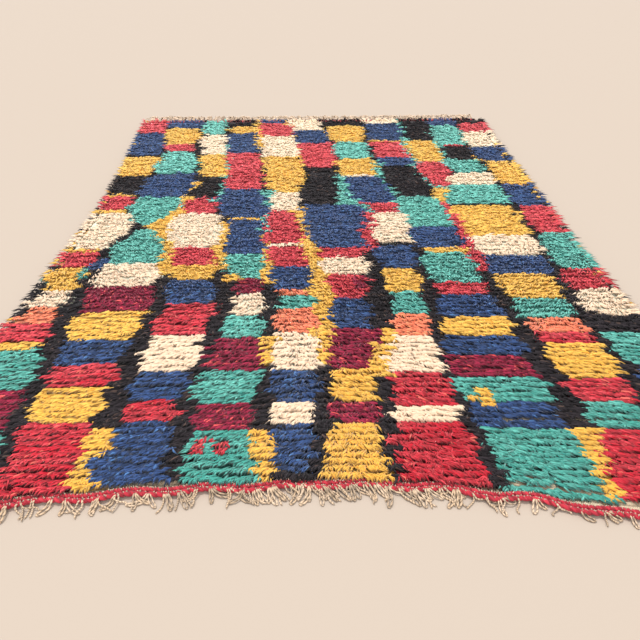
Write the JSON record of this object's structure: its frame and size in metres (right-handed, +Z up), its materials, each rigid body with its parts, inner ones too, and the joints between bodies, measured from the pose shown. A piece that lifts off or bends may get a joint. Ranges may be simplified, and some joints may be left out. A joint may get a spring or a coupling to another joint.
{
  "type": "azilal rug",
  "caption": "Hand-knotted wool rug with a shaggy pile in rows, lying flat, with a twined band and a short fringe at each end.",
  "frame": {"origin": "on the floor, under the middle of the rug", "axes": "+Y along the rug to its far end, +X to its right side, +Z up out of the pile"},
  "size_m": [1.569, 2.4456, 0.0267],
  "materials": {
    "pile_wool": "long soft wool pile, matt with a slight sheen, in blocks of red, blue, gold, green, cream, black, burgundy and coral",
    "band_wool": "matt plied red wool, twined",
    "warp_wool": "matt undyed wool, tightly spun"
  },
  "bodies": {
    "root": {"pile_field": "pile_wool", "near_end_band": "band_wool", "far_end_band": "band_wool", "near_fringe": "warp_wool", "far_fringe": "warp_wool"}
  },
  "joints": []
}
